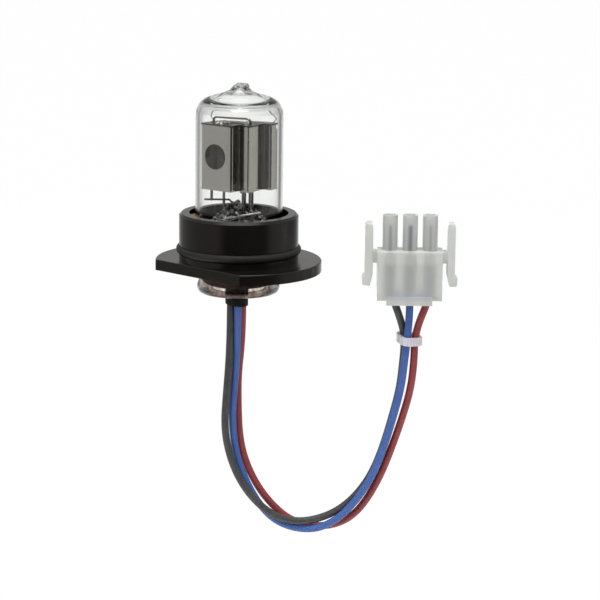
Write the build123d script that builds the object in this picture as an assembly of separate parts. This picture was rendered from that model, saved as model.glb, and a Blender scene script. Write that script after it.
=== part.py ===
from build123d import *
import os
from math import cos, radians, sin, tan

# Deuterium lamp with a flanged base, an O-ring, and a three wire lead ending in a moulded connector.
# Millimetres. The origin is on the lamp axis in the top face of the flange, +Z towards the bulb tip,
# +X towards the connector, and the light leaves through the round window to the front left.

# Base: one turned ring with a collar and a flange
flange_radius = 26.4
flange_thickness = 3.4
flange_edge_break = 0.25
flat_distance = 19.3
flat_direction = -131.0
flat_corner_radius = 1.2
collar_radius = 18.95
collar_height = 15.0
collar_chamfer = 0.8
collar_bore_radius = 15.75
collar_floor = 1.0
neck_clearance = 1.4

# O-ring and its groove
ring_section_radius = 1.3
ring_stretch_radius = 18.55
ring_height = 3.4
groove_width = 2.9

# Glass bulb: tube, dome, tip, neck, sealed rim and the stem that closes it from below
bulb_radius = 13.9
glass_wall = 1.3
dome_clearance = 1.1
dome_height = 12.1
dome_drop = 3.2
tip_radius = 2.6
tip_corner = 0.8
tip_flare = 1.6
shoulder_height = 4.5
inner_dome_drop = 5.4
shoulder_bottom = 5.5
neck_radius = 11.8
rim_radius = 13.15
rim_height = -8.7
rim_bottom = -10.45
flare_height = 4.0
trough_height = 3.2
stem_radius = 9.2
stem_mouth_radius = 9.3
wafer_top = 12.0
wafer_thickness = 2.5
bead_radius = 1.5
bead_height = 1.3

# Cement that holds the bulb in the base
cement_top = 8.0
dab_top = 13.4
dab_direction = 172.0
dab_width = 7.0

# Potting in the mouth of the stem and the sleeve around the wires
potting_bottom = -8.2
potting_top = -1.0
sleeve_offset = -0.5
sleeve_radius = 3.65
sleeve_wall = 0.45
sleeve_top = -5.4
sleeve_bottom = -15.0

# Electrode housing: folded nickel sheet round the arc, turned about the lamp axis
housing_turn = 35.0
housing_bottom = 22.7
housing_height = 20.9
sheet = 0.4
bend_radius = 0.6
housing_left = -9.4
housing_front = -7.73
window_right = 2.7
side_front = -4.13
side_right = 6.95
wing_front = 3.45
housing_right = 9.65
housing_back = 7.72
seam_gap = 0.35
wing_chamfer = 1.8
relief_slots = 6
relief_slot_height = 1.3
relief_slot_depth = 0.5

# Window, arc aperture, anode and cathode inside the housing
window_radius = 4.0
window_centre = -3.72
window_height = 33.4
divider_front = -0.2
divider_thickness = 1.8
tongue_half_length = 4.6
tongue_rise = 0.8
aperture_disc_radius = 3.6
aperture_disc_thickness = 0.9
aperture_radius = 0.5
aperture_cone_radius = 1.9
divider_hole_radius = 2.6
anode_half_width = 3.4
anode_height = 9.0
anode_thickness = 0.6
anode_boss_radius = 1.1
anode_u = -1.5
anode_v = 5.3
baffle_slot_width = 1.8
baffle_slot_height = 8.0
coil_u = 3.4
coil_v = -2.13
coil_radius = 0.8
coil_wire_radius = 0.2
coil_pitch = 1.1
coil_turns = 7.5
coil_start = -75.0
lead_radius = 0.4
upper_lead_u = 5.0
upper_lead_v = -1.15
bushing_radius = 0.75
bushing_flange_radius = 0.95
bushing_flange = 0.6
fit_gap = 0.05

# Wires and springs around the housing
post_radius = 0.45
hoop_radius = 0.42
hoop_rise = 2.3
hoop_bend = 1.5
spring_radius = 0.16
brace_radius = 0.3
strand_radius = 0.5

# Wires of the lead
wire_radius = 1.2
tie_height = -25.6

# Connector housing and its contacts
plug_x = 54.4
circuit_pitch = 6.35
circuits = 3
body_width = 20.7
body_depth = 9.2
body_top = 3.55
body_bottom = -12.1
body_corner = 0.5
skirt_width = 14.6
skirt_step = 0.7
skirt_top = -10.8
skirt_bottom = -13.6
skirt_wall = 1.1
skirt_pocket_top = -9.4
barrel_radius = 2.42
barrel_bore_radius = 1.72
barrel_top = 14.9
cavity_radius = 2.05
cavity_step = 1.0
arm_inner = 11.75
arm_outer = 14.35
arm_top = 12.3
arm_bottom = -7.75
arm_depth = 5.2
arm_flare = 0.85
bridge_top = 3.3
bridge_bottom = -0.3
bridge_depth = 4.4
contact_radius = 1.42
contact_wall = 0.25
contact_top = 11.6
contact_shoulder_radius = 1.9
contact_shoulder = 0.8
crimp_radius = 1.5
crimp_bottom = -2.5
crimp_grip = 1.6

# Cable tie round the three wires
tie_thickness = 0.95
tie_width = 2.5
tie_tilt = 6.5
tie_pitch = 5.0
tie_clearance = 0.3
tie_head_width = 4.0
tie_head_depth = 2.6
tie_head_height = 3.0
tie_head_drop = 0.8


def in_lamp(u, v, z):
    """Return a lamp position for a place in the housing, u to its right and v to its back."""
    turn = radians(housing_turn)
    return (u * cos(turn) + v * sin(turn), v * cos(turn) - u * sin(turn), z)


def turned(outline):
    """Revolve a closed outline of radius and height about the lamp axis."""
    return revolve(Plane.XZ * make_face(outline), Axis.Z)


def tube(inner, outer, bottom, top):
    """Make a straight round tube on the axis between two heights."""
    outline = Polyline((inner, bottom), (outer, bottom), (outer, top), (inner, top), (inner, bottom))
    return turned(outline)


def disc(radius, bottom, top):
    """Make a solid round disc or bar on the axis between two heights."""
    return Pos(0, 0, bottom) * Cylinder(radius, top - bottom, align=(Align.CENTER, Align.CENTER, Align.MIN))


def block(left, right, front, back, bottom, top):
    """Make a rectangular block from its six faces."""
    size = Box(right - left, back - front, top - bottom, align=(Align.MIN, Align.MIN, Align.MIN))
    return Pos(left, front, bottom) * size


def upright(radius, u, v, bottom, top):
    """Make an upright round bar at a place in the housing."""
    x, y, _ = in_lamp(u, v, 0)
    return Pos(x, y, 0) * disc(radius, bottom, top)


def bent_wire(points, radius, bends):
    """Sweep a round wire along straight runs joined by tangent arcs."""
    path = FilletPolyline(*points, radius=bends)
    return sweep(Plane(path @ 0, z_dir=path % 0) * Circle(radius), path)


def folded(corners, bottom, top):
    """Fold one strip of sheet upright along its corners, given at the middle of its thickness."""
    path = FilletPolyline(*corners, radius=bend_radius)
    return Pos(0, 0, bottom) * extrude(trace(path, sheet), top - bottom)


def at_housing(shape):
    """Turn a shape drawn along the housing's own sides into its place in the lamp."""
    return Rot(0, 0, -housing_turn) * shape


# Base ring and O-ring

def make_base():
    """Turn the base ring, bore it, groove it and mill its locating flat."""
    groove_floor = ring_stretch_radius - ring_section_radius
    flange = disc(flange_radius, -flange_thickness, 0)
    reach = flange_radius
    cutter = block(flat_distance, flat_distance + reach, -reach, reach, -flange_thickness - 1, 1)
    flange -= Rot(0, 0, flat_direction) * cutter
    left_corner = flange.edges().filter_by(Axis.Z).sort_by(Axis.X)[0]
    flange = fillet(left_corner, flat_corner_radius)
    flange = chamfer(flange.faces().sort_by(Axis.Z)[-1].edges(), flange_edge_break)
    collar = disc(collar_radius, -flange_edge_break - 0.5, collar_height)
    collar = chamfer(collar.edges().sort_by(Axis.Z)[-1], collar_chamfer)
    ring = flange + collar
    ring -= disc(collar_bore_radius, collar_floor, collar_height + 1)
    ring -= disc(neck_radius + neck_clearance, -flange_thickness - 1, collar_height)
    half = groove_width / 2
    ring -= tube(groove_floor, collar_radius + 1, ring_height - half, ring_height + half)
    return ring


def make_o_ring():
    """Make the O-ring that sits in the groove of the collar."""
    return Pos(0, 0, ring_height) * Torus(ring_stretch_radius, ring_section_radius)


# Glass bulb

def dome_foot():
    """Give the height at which the straight tube ends, clear of the housing's roof."""
    return housing_bottom + housing_height + dome_clearance


def glass_skin():
    """Revolve everything inside the outer face of the glass, open at the stem from below."""
    stem_bore = stem_radius - glass_wall
    flare_top = rim_height + flare_height
    wafer_bottom = wafer_top - wafer_thickness
    dome_start = dome_foot()
    tip_top = dome_start + dome_height
    neck_top = shoulder_bottom - shoulder_height
    knob = Polyline((0, wafer_bottom), (0, tip_top), (tip_radius - tip_corner, tip_top))
    knob_edge = RadiusArc(
        (tip_radius - tip_corner, tip_top),
        (tip_radius, tip_top - tip_corner),
        tip_corner,
    )
    crown = tip_top - dome_drop
    fall = crown - dome_start
    dome = Spline(
        (tip_radius, tip_top - tip_corner),
        (tip_radius + tip_flare, crown),
        (0.56 * bulb_radius, crown - 0.135 * fall),
        (0.79 * bulb_radius, crown - 0.3 * fall),
        (0.94 * bulb_radius, crown - 0.57 * fall),
        (bulb_radius, dome_start),
        tangents=((0.25, -1), (0, -1)),
        tangent_scalars=(0.4, 0.8),
    )
    side = Line((bulb_radius, dome_start), (bulb_radius, shoulder_bottom))
    shoulder = Spline(
        (bulb_radius, shoulder_bottom),
        (neck_radius, neck_top),
        tangents=((0, -1), (0, -1)),
    )
    neck = Line((neck_radius, neck_top), (neck_radius, flare_top))
    flare = Spline((neck_radius, flare_top), (rim_radius, rim_height), tangents=((0, -1), (0, -1)))
    foot_radius = (rim_radius + stem_mouth_radius) / 2
    foot = ThreePointArc(
        (rim_radius, rim_height),
        (foot_radius, rim_bottom),
        (stem_mouth_radius, rim_height),
    )
    mouth = Spline(
        (stem_mouth_radius, rim_height),
        (stem_bore, flare_top),
        tangents=((0, 1), (0, 1)),
    )
    bore = Polyline((stem_bore, flare_top), (stem_bore, wafer_bottom), (0, wafer_bottom))
    return turned(knob + knob_edge + dome + side + shoulder + neck + flare + foot + mouth + bore)


def gas_space():
    """Revolve the sealed space between the bulb wall and the stem."""
    inner = bulb_radius - glass_wall
    neck_inner = neck_radius - glass_wall
    trough = rim_height + trough_height
    neck_top = shoulder_bottom - shoulder_height + 0.3
    middle = (neck_inner + stem_radius) / 2
    dome_start = dome_foot()
    roof = dome_start + dome_height - inner_dome_drop
    rise = roof - dome_start
    dome = Spline(
        (0, roof),
        (0.32 * inner, roof - 0.05 * rise),
        (0.63 * inner, roof - 0.2 * rise),
        (0.85 * inner, roof - 0.42 * rise),
        (inner, dome_start),
        tangents=((1, 0), (0, -1)),
    )
    side = Line((inner, dome_start), (inner, shoulder_bottom + 0.6))
    shoulder = Spline(
        (inner, shoulder_bottom + 0.6),
        (neck_inner, neck_top),
        tangents=((0, -1), (0, -1)),
    )
    neck = Line((neck_inner, neck_top), (neck_inner, trough))
    low = trough - (neck_inner - stem_radius) / 2
    bottom = ThreePointArc((neck_inner, trough), (middle, low), (stem_radius, trough))
    stem = Line((stem_radius, trough), (stem_radius, wafer_top - 1))
    edge = RadiusArc((stem_radius, wafer_top - 1), (stem_radius - 1, wafer_top), -1)
    top = Polyline((stem_radius - 1, wafer_top), (0, wafer_top), (0, roof))
    return turned(dome + side + shoulder + neck + bottom + stem + edge + top)


def glass_bead():
    """Make the small cone of glass that creeps up a lead where it leaves the wafer."""
    cone = Cone(bead_radius, lead_radius + 0.25, bead_height, align=(Align.CENTER, Align.CENTER, Align.MIN))
    return Pos(0, 0, wafer_top) * cone


def coil_end(direction):
    """Place in the housing of a coil end that points in one direction from the coil's axis."""
    angle = radians(direction)
    return (coil_u + coil_radius * cos(angle), coil_v + coil_radius * sin(angle))


# Leads and posts that rise from the stem, as place in the housing and radius
stem_leads = {
    "anode": (anode_u, anode_v, lead_radius),
    "lower_cathode": (*coil_end(coil_start), lead_radius),
    "upper_cathode": (upper_lead_u, upper_lead_v, lead_radius),
    "front_post": (-4.05, -2.59, post_radius),
    "rear_post": (4.4, 1.0, post_radius),
    "spare_pin": (7.28, -0.64, lead_radius),
}


def make_envelope():
    """Blow the bulb with its stem, and seal the leads through the wafer."""
    glass = glass_skin() - gas_space()
    for u, v, _ in stem_leads.values():
        x, y, _ = in_lamp(u, v, 0)
        glass += Pos(x, y, 0) * glass_bead()
    for u, v, radius in stem_leads.values():
        glass -= upright(radius, u, v, 0, wafer_top + 2 * bead_height)
    return glass


def make_cement(skin):
    """Fill the ring between bulb and base with cement, with a dab risen at one side."""
    inner = neck_radius - 0.6
    fill = tube(inner, neck_radius + neck_clearance, -flange_thickness, collar_floor)
    fill += tube(inner, collar_bore_radius, collar_floor, cement_top)
    wall = tube(bulb_radius - 0.5, collar_bore_radius, cement_top - 0.5, dab_top)
    wedge = block(0, collar_bore_radius + 1, -dab_width / 2, dab_width / 2, 0, dab_top + 1)
    dab = wall & (Rot(0, 0, dab_direction) * wedge)
    dab = fillet(dab.edges().filter_by(Axis.Z).sort_by(Axis.Y)[0], 0.4)
    return fill + dab - skin


def make_potting(skin):
    """Fill the mouth of the stem, with a socket for the sleeve."""
    plug = disc(stem_mouth_radius + 0.2, potting_bottom, potting_top) - skin
    socket = disc(sleeve_radius, potting_bottom - 1, sleeve_top)
    return plug - Pos(sleeve_offset, 0, 0) * socket


def make_sleeve():
    """Make the shrunk sleeve that gathers the three wires, cut on a slight slant."""
    sleeve = tube(sleeve_radius - sleeve_wall, sleeve_radius, sleeve_bottom, sleeve_top)
    slant = block(-10, 10, -10, 10, -4, 0)
    sleeve -= Pos(0, 0, sleeve_bottom + 0.5) * Rot(0, 7, 0) * Pos(0, 0, -0.3) * slant
    return Pos(sleeve_offset, 0, 0) * sleeve


# Electrode housing

def housing_floor():
    """Height of the top of the bottom plate."""
    return housing_bottom + sheet


def housing_roof():
    """Height of the underside of the top plate."""
    return housing_bottom + housing_height - sheet


def housing_outline():
    """Plan of the housing, stepped back twice on its right side."""
    return Polyline(
        (housing_left, housing_front),
        (window_right, housing_front),
        (window_right, side_front),
        (side_right, side_front),
        (side_right, wing_front),
        (housing_right, wing_front),
        (housing_right, housing_back),
        (housing_left, housing_back),
        (housing_left, housing_front),
    )


def make_window_shield():
    """Fold the front sheet: left side, window plate, first step and inner front."""
    half = sheet / 2
    corners = [
        (housing_left + half, wing_front - seam_gap),
        (housing_left + half, housing_front + half),
        (window_right - half, housing_front + half),
        (window_right - half, side_front + half),
        (side_right - sheet - seam_gap, side_front + half),
    ]
    shield = folded(corners, housing_floor(), housing_roof())
    punch = Rot(90, 0, 0) * Cylinder(window_radius, 2)
    shield -= Pos(window_centre, housing_front, window_height) * punch
    return at_housing(shield)


def make_side_cover():
    """Fold the right sheet: cathode side, wing and its outer flange with relief slots."""
    half = sheet / 2
    corners = [
        (side_right - half, side_front),
        (side_right - half, wing_front + half),
        (housing_right - half, wing_front + half),
        (housing_right - half, housing_back - sheet),
    ]
    cover = folded(corners, housing_floor(), housing_roof())
    nip = Rot(0, 45, 0) * Box(wing_chamfer * 2**0.5, 4 * sheet, wing_chamfer * 2**0.5)
    nip = Rot(0, 0, 90) * nip
    cover -= Pos(housing_right - half, housing_back - sheet, housing_roof()) * nip
    pitch = (housing_height - 2 * sheet) / relief_slots
    for number in range(relief_slots):
        height = housing_floor() + (number + 0.5) * pitch
        slot = Box(2 * relief_slot_depth, 2 * relief_slot_depth, relief_slot_height)
        cover -= Pos(housing_right, wing_front, height) * slot
    return at_housing(cover)


def make_rear_cover():
    """Fold the back sheet with a flange at each side."""
    half = sheet / 2
    inner_right = housing_right - sheet - fit_gap - half
    corners = [
        (housing_left + half, wing_front),
        (housing_left + half, housing_back - half),
        (inner_right, housing_back - half),
        (inner_right, housing_back - 2.6),
    ]
    return at_housing(folded(corners, housing_floor(), housing_roof()))


def make_divider():
    """Make the ceramic wall across the housing, with tongues through the plates."""
    left = housing_left + sheet + fit_gap
    right = side_right - sheet - fit_gap
    back = divider_front + divider_thickness
    wall = block(left, right, divider_front, back, housing_floor(), housing_roof())
    middle = (left + right) / 2
    top = housing_roof() + sheet + tongue_rise
    bottom = housing_floor() - sheet - tongue_rise / 2
    wall += block(
        middle - tongue_half_length,
        middle + tongue_half_length,
        divider_front,
        back,
        bottom,
        top,
    )
    along = Rot(90, 0, 0)
    hole = along * Cylinder(divider_hole_radius, 3 * divider_thickness)
    wall -= Pos(window_centre, divider_front, window_height) * hole
    seat_depth = aperture_disc_thickness
    seat = along * Cylinder(aperture_disc_radius + fit_gap, 2 * seat_depth)
    wall -= Pos(window_centre, back, window_height) * seat
    return at_housing(wall)


def make_aperture_disc():
    """Turn the molybdenum disc whose small hole pinches the arc."""
    half = aperture_disc_thickness / 2
    outline = Polyline(
        (aperture_radius, -half),
        (aperture_disc_radius, -half),
        (aperture_disc_radius, half),
        (aperture_radius, half),
        (aperture_radius, -half),
    )
    plate = turned(outline)
    cone = Cone(aperture_radius, aperture_cone_radius, aperture_disc_thickness)
    plate -= cone
    back = divider_front + divider_thickness - half
    return at_housing(Pos(window_centre, back, window_height) * Rot(90, 0, 0) * plate)


def make_anode():
    """Make the anode plate with a rolled boss on its lead."""
    back = anode_v - anode_boss_radius + 0.35
    plate = block(
        window_centre - anode_half_width,
        window_centre + anode_half_width,
        back - anode_thickness,
        back,
        window_height - anode_height / 2,
        window_height + anode_height / 2,
    )
    boss = Pos(anode_u, anode_v, 0) * disc(
        anode_boss_radius,
        window_height - anode_height / 2,
        window_height + anode_height / 2,
    )
    bore = Pos(anode_u, anode_v, 0) * disc(lead_radius, 0, window_height + anode_height)
    return at_housing(plate + boss - bore)


def make_baffle():
    """Make the slotted wall between the cathode and the window."""
    wall = block(
        window_right - sheet,
        window_right,
        side_front + sheet,
        divider_front,
        housing_floor(),
        housing_roof(),
    )
    middle = (side_front + sheet + divider_front) / 2
    slot = Box(3 * sheet, baffle_slot_width, baffle_slot_height)
    wall -= Pos(window_right, middle, window_height) * slot
    return at_housing(wall)


def coil_bottom():
    """Height of the lower end of the cathode coil."""
    return window_height - coil_pitch * coil_turns / 2


def make_coil():
    """Wind the cathode coil on an upright axis."""
    path = Helix(coil_pitch, coil_pitch * coil_turns, coil_radius)
    coil = sweep(Plane(path @ 0, z_dir=path % 0) * Circle(coil_wire_radius), path, is_frenet=True)
    return at_housing(Pos(coil_u, coil_v, coil_bottom()) * Rot(0, 0, coil_start) * coil)


def make_plate(bottom, bushed, pierced):
    """Cut a plate to the plan of the housing, with holes for bushes and for bare rods."""
    plate = extrude(make_face(housing_outline()), sheet)
    plate = at_housing(Pos(0, 0, bottom) * plate)
    for name in bushed:
        u, v, _ = stem_leads[name]
        plate -= upright(bushing_radius, u, v, bottom - 1, bottom + 1)
    for name in pierced:
        u, v, radius = stem_leads[name]
        plate -= upright(radius, u, v, bottom - 1, bottom + 1)
    left = housing_left + sheet + fit_gap
    middle = (left + side_right - sheet - fit_gap) / 2
    slot = block(
        middle - tongue_half_length - fit_gap,
        middle + tongue_half_length + fit_gap,
        divider_front - fit_gap,
        divider_front + divider_thickness + fit_gap,
        bottom - 1,
        bottom + 1,
    )
    return plate - at_housing(slot)


def make_bushings():
    """Make the three ceramic bushes that insulate the live leads from the bottom plate."""
    bushes = []
    for name in ("anode", "lower_cathode", "upper_cathode"):
        u, v, radius = stem_leads[name]
        bush = tube(radius, bushing_radius, housing_bottom - bushing_flange, housing_floor() + 0.8)
        bush += tube(radius, bushing_flange_radius, housing_bottom - bushing_flange, housing_bottom)
        x, y, _ = in_lamp(u, v, 0)
        bushes.append(Pos(x, y, 0) * bush)
    return Compound(children=bushes)


# Rods, wires and springs inside the bulb

def make_anode_lead():
    """Run the anode lead from the potting up through the anode's boss."""
    u, v, radius = stem_leads["anode"]
    return upright(radius, u, v, potting_top, window_height + anode_height / 2 + 1.5)


def make_lower_lead():
    """Run the lead that carries the lower end of the cathode coil."""
    u, v, radius = stem_leads["lower_cathode"]
    return upright(radius, u, v, potting_top, coil_bottom() - coil_wire_radius)


def make_upper_lead():
    """Run the lead that passes beside the cathode coil and turns over to its upper end."""
    u, v, radius = stem_leads["upper_cathode"]
    over = coil_bottom() + coil_pitch * coil_turns + coil_wire_radius + lead_radius
    points = [
        in_lamp(u, v, potting_top),
        in_lamp(u, v, over),
        in_lamp(*coil_end(coil_start + 360 * (coil_turns % 1)), over),
    ]
    return bent_wire(points, radius, 0.5)


def make_post(name):
    """Run one support post from the potting to the bottom plate."""
    u, v, radius = stem_leads[name]
    return upright(radius, u, v, potting_top, housing_floor())


def make_spare_pin():
    """Make the short pin that takes the twisted strand."""
    u, v, radius = stem_leads["spare_pin"]
    return upright(radius, u, v, potting_top, wafer_top + 4.6)


short_pin_x = -8.7
short_pin_bottom = 18.8


def front_post_place():
    """Where the front post stands in the lamp."""
    u, v, _ = stem_leads["front_post"]
    x, y, _ = in_lamp(u, v, 0)
    return (x, y)


def make_short_pin():
    """Make the short pin under the left side of the housing, in line with the front post."""
    _, y = front_post_place()
    return Pos(short_pin_x, y, 0) * disc(post_radius, short_pin_bottom, housing_bottom)


def make_brace():
    """Lay the brace wire from the short pin across to the front post."""
    post_x, post_y = front_post_place()
    side = post_y - post_radius - brace_radius
    height = short_pin_bottom + 0.45
    points = [
        (short_pin_x - 2.3, side, height),
        (post_x + 1.8, side, height),
        (post_x + 2.6, side - 0.3, height - 0.9),
    ]
    return bent_wire(points, brace_radius, 0.7)


def make_hoop():
    """Bend the hoop that stands on the top plate."""
    top = housing_bottom + housing_height
    points = [
        in_lamp(-8.4, -2.5, top),
        in_lamp(-8.4, -2.5, top + hoop_rise),
        in_lamp(5.6, -1.9, top + hoop_rise),
        in_lamp(5.6, -1.9, top),
    ]
    return bent_wire(points, hoop_radius, [hoop_bend, hoop_bend])


def make_left_spring():
    """Bend the left spring wire from the top plate up to the bulb wall."""
    top = housing_bottom + housing_height
    points = [
        (-8.0, 5.2, top),
        (-8.5, 5.6, top + 0.04 * dome_height),
        (-9.3, 6.2, top + 0.17 * dome_height),
        (-9.2, 6.1, top + 0.27 * dome_height),
        (-8.2, 5.7, top + 0.34 * dome_height),
        (-6.6, 5.2, top + 0.37 * dome_height),
    ]
    return bent_wire(points, spring_radius, 0.45)


def make_right_spring():
    """Bend the right spring wire from the top plate up to the bulb wall."""
    top = housing_bottom + housing_height
    points = [
        (9.9, -0.9, top),
        (10.7, -1.0, top + 0.04 * dome_height),
        (11.6, -1.0, top + 0.13 * dome_height),
        (10.6, -1.0, top + 0.26 * dome_height),
        (9.0, -1.0, top + 0.37 * dome_height),
    ]
    return bent_wire(points, spring_radius, 0.45)


def make_strand():
    """Lay the twisted strand from the wafer across the front of the stem to the short lead."""
    u, v, _ = stem_leads["spare_pin"]
    x, y, _ = in_lamp(u, v, 0)
    beside = y - lead_radius - strand_radius
    points = [
        (-4.5, beside - 0.8, wafer_top),
        (-4.5, beside - 0.8, wafer_top + 1.9),
        (x + 1.2, beside, wafer_top + 4.0),
    ]
    return bent_wire(points, strand_radius, 0.9)


# Lead: three wires, as points along each route, from the sleeve to the connector
black_route = [
    (-2.4, 0.1, sleeve_top),
    (-2.4, 0.1, -17.0),
    (-3.0, -1.3, -30.8),
    (-4.1, -1.5, -43.5),
    (-4.8, -1.5, -54.3),
    (-3.3, -1.8, -63.6),
    (0.2, -2.0, -72.4),
    (5.5, -2.0, -79.7),
    (12.1, -1.8, -84.8),
    (19.4, -0.8, -86.7),
    (26.8, 0.5, -85.6),
    (33.1, 1.1, -82.5),
    (38.4, 1.5, -77.5),
    (42.7, 1.5, -71.0),
    (46.0, 1.4, -62.5),
    (48.8, 1.4, -52.4),
    (51.6, 1.4, -42.2),
    (52.9, 1.3, -33.5),
    (53.3, 1.25, -28.0),
    (52.95, 1.2, -22.8),
    (51.4, 0.9, -17.9),
    (49.4, 0.3, -12.6),
    (plug_x - circuit_pitch, 0.0, -7.4),
    (plug_x - circuit_pitch, 0.0, crimp_bottom),
]
blue_route = [
    (0.0, -1.45, sleeve_top),
    (0.0, -1.45, -17.0),
    (-0.6, 0.1, -30.9),
    (-1.6, 0.4, -43.1),
    (-2.2, 0.4, -54.0),
    (-0.6, 0.5, -65.3),
    (2.6, 0.5, -73.9),
    (6.9, 0.5, -81.4),
    (12.0, 0.6, -86.7),
    (18.4, 0.3, -89.4),
    (25.6, -0.5, -89.1),
    (32.1, -1.1, -85.4),
    (37.9, -1.3, -79.1),
    (43.0, -1.3, -70.8),
    (46.3, -1.3, -61.7),
    (49.1, -1.3, -51.8),
    (52.0, -1.3, -41.7),
    (53.3, -1.25, -33.3),
    (54.0, -1.2, -26.0),
    (54.8, -0.6, -16.5),
    (plug_x, 0.0, -9.4),
    (plug_x, 0.0, crimp_bottom),
]
red_route = [
    (1.4, 0.6, sleeve_top),
    (1.4, 0.6, -16.5),
    (0.9, 2.05, -27.9),
    (-0.3, 2.95, -38.7),
    (-0.2, 2.85, -49.5),
    (0.3, 2.6, -59.3),
    (2.3, 2.6, -67.6),
    (6.2, 2.7, -75.7),
    (11.0, 2.8, -82.1),
    (16.7, 2.9, -87.1),
    (23.8, 2.9, -89.6),
    (31.0, 2.6, -88.6),
    (37.1, 2.1, -85.1),
    (41.7, 1.6, -79.0),
    (45.9, 1.0, -70.6),
    (49.4, 0.8, -60.8),
    (52.6, 0.6, -50.7),
    (55.3, 0.4, -41.5),
    (56.5, 0.15, -32.4),
    (56.5, 0.1, -25.5),
    (57.9, 0.0, -19.6),
    (60.3, 0.0, -13.8),
    (plug_x + circuit_pitch, 0.0, -8.0),
    (plug_x + circuit_pitch, 0.0, crimp_bottom),
]
# Where each wire passes the cable tie, across the bundle
tie_places = [(53.1, 1.25), (54.0, -1.2), (56.5, 0.1)]


def route_radii(route):
    """Give each corner of a route an arc as large as its two runs allow."""
    radii = []
    for before, corner, after in zip(route, route[1:], route[2:]):
        run_in = Vector(*corner) - Vector(*before)
        run_out = Vector(*after) - Vector(*corner)
        half_turn = radians(run_in.get_angle(run_out)) / 2
        radii.append(0.45 * min(run_in.length, run_out.length) / tan(half_turn))
    return radii


def make_wire(name, route):
    """Sweep one insulated wire along its route and print how it bends."""
    radii = route_radii(route)
    path = FilletPolyline(*route, radius=radii)
    wire = sweep(Plane(path @ 0, z_dir=path % 0) * Circle(wire_radius), path)
    section = 3.14159265 * wire_radius**2
    print(name, "length", round(path.length, 1), "tightest bend", round(min(radii), 1))
    print(name, "volume over section times length", round(wire.volume / (section * path.length), 4))
    return wire


def make_cable_tie():
    """Wrap the tie round the three wires, with its head behind them."""
    middle_x = sum(x for x, _ in tie_places) / circuits
    middle_y = sum(y for _, y in tie_places) / circuits
    rounds = [Pos(x - middle_x, y - middle_y) * Circle(wire_radius) for x, y in tie_places]
    hull = make_hull([edge for one in rounds for edge in one.edges()])
    inner = offset(hull, tie_clearance)
    outer = offset(hull, tie_clearance + tie_thickness)
    tilt = Rot(tie_pitch, tie_tilt, 0)
    reach = outer.bounding_box().size.X
    slab = tilt * Box(2 * reach, 2 * reach, tie_width)
    band = extrude(outer - inner, reach, both=True) & slab
    back = outer.bounding_box().max.Y
    head = block(
        -tie_head_width / 2,
        tie_head_width / 2,
        back - tie_thickness / 2,
        back - tie_thickness / 2 + tie_head_depth,
        -tie_head_drop - tie_head_height / 2,
        -tie_head_drop + tie_head_height / 2,
    )
    head = tilt * fillet(head.edges().filter_by(Axis.Y), 0.5)
    head -= extrude(inner, reach, both=True)
    return Pos(middle_x, middle_y, tie_height) * (band + head)


# Connector

def circuit_places():
    """Centres of the circuits along the connector."""
    first = plug_x - circuit_pitch * (circuits - 1) / 2
    return [first + number * circuit_pitch for number in range(circuits)]


def latch_arm():
    """Draw the latch arm of the right side, with its finger pad at the bottom."""
    outline = Polyline(
        (arm_inner + 0.35, arm_top),
        (arm_outer - 0.5, arm_top),
        (arm_outer, arm_top - 0.8),
        (arm_outer, arm_bottom + 3.4),
        (arm_outer + arm_flare, arm_bottom + 2.6),
        (arm_outer + arm_flare, arm_bottom + 0.5),
        (arm_outer + arm_flare - 0.4, arm_bottom),
        (arm_inner + 0.9, arm_bottom),
        (arm_inner, arm_bottom + 3.8),
        (arm_inner, arm_top - 1.6),
        (arm_inner + 0.35, arm_top),
    )
    arm = extrude(Plane.XZ * make_face(outline), arm_depth / 2, both=True)
    return fillet(arm.edges().filter_by(Axis.Z), 0.4)


def make_plug_housing():
    """Mould the connector housing: body, barrels, skirt, latch arms and their bridges."""
    body = Box(body_width, body_depth, body_top - body_bottom, align=(Align.CENTER, Align.CENTER, Align.MIN))
    body = fillet(body.edges().filter_by(Axis.Z), body_corner)
    body = Pos(0, 0, body_bottom) * body
    skirt_depth = body_depth + skirt_step
    skirt = block(
        -skirt_width / 2,
        skirt_width / 2,
        -skirt_depth / 2,
        skirt_depth / 2,
        skirt_bottom,
        skirt_top,
    )
    skirt = fillet(skirt.edges().filter_by(Axis.Z), body_corner)
    housing = body + skirt
    for side in (0, 180):
        bridge = block(
            body_width / 2 - 0.3,
            arm_inner + 0.3,
            -bridge_depth / 2,
            bridge_depth / 2,
            bridge_bottom,
            bridge_top,
        )
        housing += Rot(0, 0, side) * (bridge + latch_arm())
    pocket = block(
        -skirt_width / 2 + skirt_wall,
        skirt_width / 2 - skirt_wall,
        -body_depth / 2 + skirt_wall,
        body_depth / 2 - skirt_wall,
        skirt_bottom - 1,
        skirt_pocket_top,
    )
    housing -= pocket
    housing = Pos(plug_x, 0, 0) * housing
    for x in circuit_places():
        housing += Pos(x, 0, 0) * disc(barrel_radius, body_top - 1, barrel_top)
    for x in circuit_places():
        housing -= Pos(x, 0, 0) * disc(barrel_bore_radius, 0, barrel_top + 1)
        housing -= Pos(x, 0, 0) * disc(cavity_radius, skirt_bottom, cavity_step)
    return housing


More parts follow.
